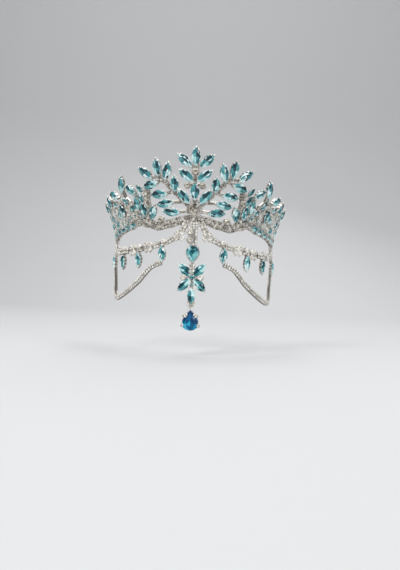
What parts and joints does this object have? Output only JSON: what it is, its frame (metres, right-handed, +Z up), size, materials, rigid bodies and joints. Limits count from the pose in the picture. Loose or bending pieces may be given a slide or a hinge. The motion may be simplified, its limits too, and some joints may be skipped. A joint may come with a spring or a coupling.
{
  "type": "bridal crown with a jewelled forehead chain",
  "caption": "Bridal crown of leaf sprays set with pale blue crystals on a scalloped band, with a forehead chain, swags and a hanging pear drop.",
  "frame": {"origin": "centre of the head where the crown sits: the middle of the band's plan, at the height of the band's line over the temples", "axes": "+Z up, the front faces -Y, +X towards the wearer's left"},
  "size_m": [0.1742, 0.105, 0.1544],
  "materials": {
    "silver": "polished silver-coloured plating",
    "aqua_crystal": "faceted pale aqua glass with a foiled back",
    "clear_crystal": "faceted clear glass with a foiled back",
    "blue_crystal": "faceted deep blue glass"
  },
  "bodies": {
    "crown": {"aqua_pear": "aqua_crystal", "centre_oval": "clear_crystal", "crown_frame": "silver", "flower_marquise_lower_left": "aqua_crystal", "flower_marquise_lower_right": "aqua_crystal", "flower_marquise_upper_left": "aqua_crystal", "flower_marquise_upper_right": "aqua_crystal", "forehead_chain_left": "silver", "forehead_chain_right": "silver", "leaning_marquise_left": "aqua_crystal", "leaning_marquise_right": "aqua_crystal", "lower_centre_marquise": "aqua_crystal", "lower_leaf_marquise_left": "aqua_crystal", "lower_leaf_marquise_right": "aqua_crystal", "lower_marquise_left": "aqua_crystal", "lower_marquise_right": "aqua_crystal", "lower_pendant_marquise": "aqua_crystal", "middle_leaf_marquise_left": "aqua_crystal", "middle_leaf_marquise_right": "aqua_crystal", "middle_marquise_left": "aqua_crystal", "middle_marquise_right": "aqua_crystal", "pendant_frame": "silver", "spray_inner_marquise_left": "aqua_crystal", "spray_inner_marquise_right": "aqua_crystal", "spray_middle_marquise_left": "aqua_crystal", "spray_middle_marquise_right": "aqua_crystal", "spray_outer_marquise_left": "aqua_crystal", "spray_outer_marquise_right": "aqua_crystal", "spray_side_marquise_left": "aqua_crystal", "spray_side_marquise_right": "aqua_crystal", "swag_left": "silver", "swag_right": "silver", "top_marquise": "aqua_crystal", "upper_leaf_marquise_left": "aqua_crystal", "upper_leaf_marquise_right": "aqua_crystal", "upper_marquise_left": "aqua_crystal", "upper_marquise_right": "aqua_crystal", "vee_inner_marquise_left": "aqua_crystal", "vee_inner_marquise_right": "aqua_crystal", "vee_outer_marquise_left": "aqua_crystal", "vee_outer_marquise_right": "aqua_crystal", "wing_inner_marquise_left": "aqua_crystal", "wing_inner_marquise_right": "aqua_crystal", "wing_outer_marquise_left": "aqua_crystal", "wing_outer_marquise_right": "aqua_crystal", "wing_top_marquise_left": "aqua_crystal", "wing_top_marquise_right": "aqua_crystal"},
    "drop": {"blue_drop": "blue_crystal", "drop_setting": "silver"}
  },
  "joints": [
    {"name": "drop_swing", "type": "hinge", "parent": "crown", "child": "drop", "pos_m": [0, -0.07989, -0.06766], "axis": [1, 0, 0], "range_deg": [-75, 30]}
  ]
}
